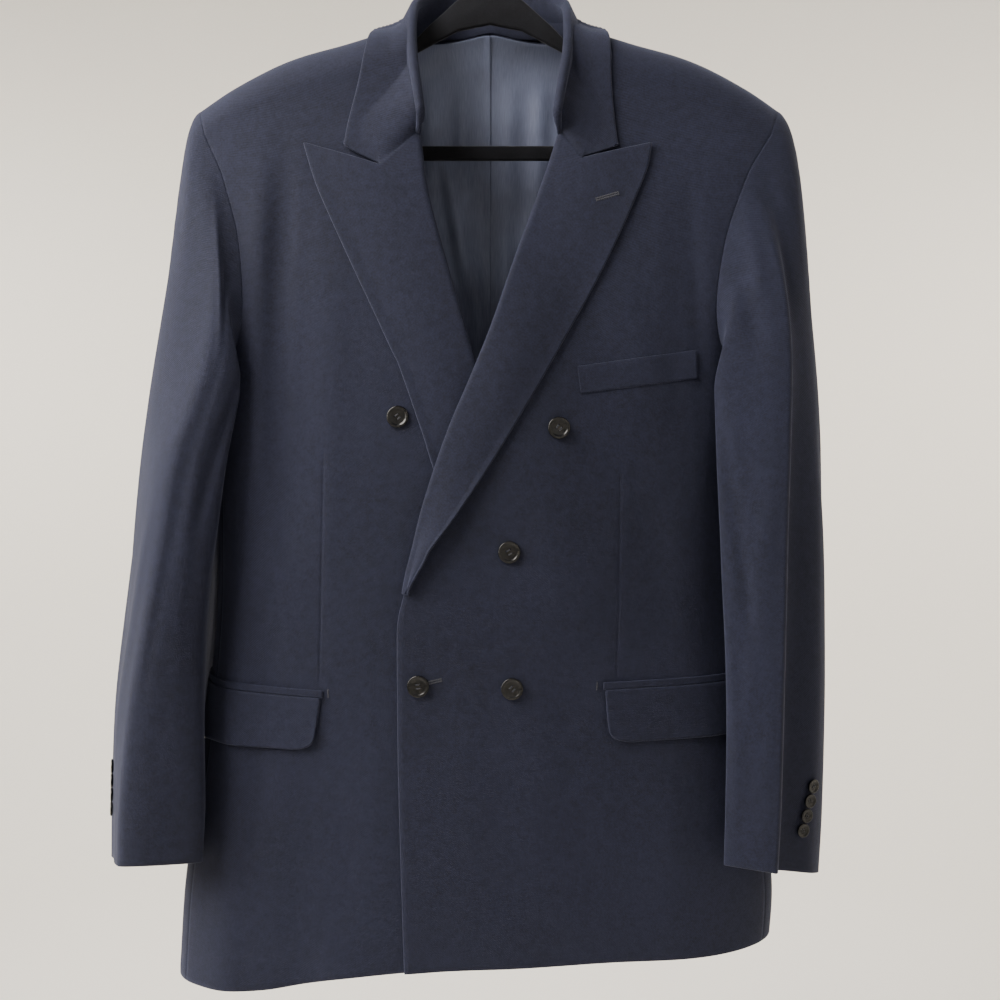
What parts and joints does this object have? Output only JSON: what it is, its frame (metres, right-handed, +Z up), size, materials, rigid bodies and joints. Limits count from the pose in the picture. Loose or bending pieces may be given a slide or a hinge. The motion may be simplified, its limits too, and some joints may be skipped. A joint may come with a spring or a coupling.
{
  "type": "double breasted blazer on a hanger",
  "caption": "Double breasted peak-lapel blazer with long sleeves, flap pockets and a breast welt, hanging closed on a flat velvet hanger with a wire hook.",
  "frame": {"origin": "inside top of the hanger's hook, where the rod or peg that holds it lies", "axes": "+Z up along the hook, +Y away from the viewer towards the blazer's back, +X to the viewer's right, the wearer's left"},
  "size_m": [0.6474, 0.1511, 0.9697],
  "materials": {
    "suiting": "fine navy worsted twill, matt",
    "lining": "grey blue satin lining",
    "buttons": "polished black resin with a raised rim",
    "velvet": "black flocked velvet",
    "hook_wire": "bright plated wire"
  },
  "bodies": {
    "root": {"front_right": "suiting", "side_right": "suiting", "back_right": "suiting", "top_sleeve_right": "suiting", "under_sleeve_right": "suiting", "lapel_right": "suiting", "back_lining_right": "lining", "front_left": "suiting", "side_left": "suiting", "back_left": "suiting", "top_sleeve_left": "suiting", "under_sleeve_left": "suiting", "lapel_left": "suiting", "back_lining_left": "lining", "collar": "suiting", "flap_right": "suiting", "jet_right": "suiting", "flap_left": "suiting", "jet_left": "suiting", "breast_welt": "suiting", "button_top_right": "buttons", "button_top_left": "buttons", "button_middle_left": "buttons", "button_fastened_right": "buttons", "button_fastened_left": "buttons", "cuff_button_right_1": "buttons", "cuff_button_right_2": "buttons", "cuff_button_right_3": "buttons", "cuff_button_right_4": "buttons", "cuff_button_left_1": "buttons", "cuff_button_left_2": "buttons", "cuff_button_left_3": "buttons", "cuff_button_left_4": "buttons", "hanger": "velvet", "hanger_hook": "hook_wire"}
  },
  "joints": []
}
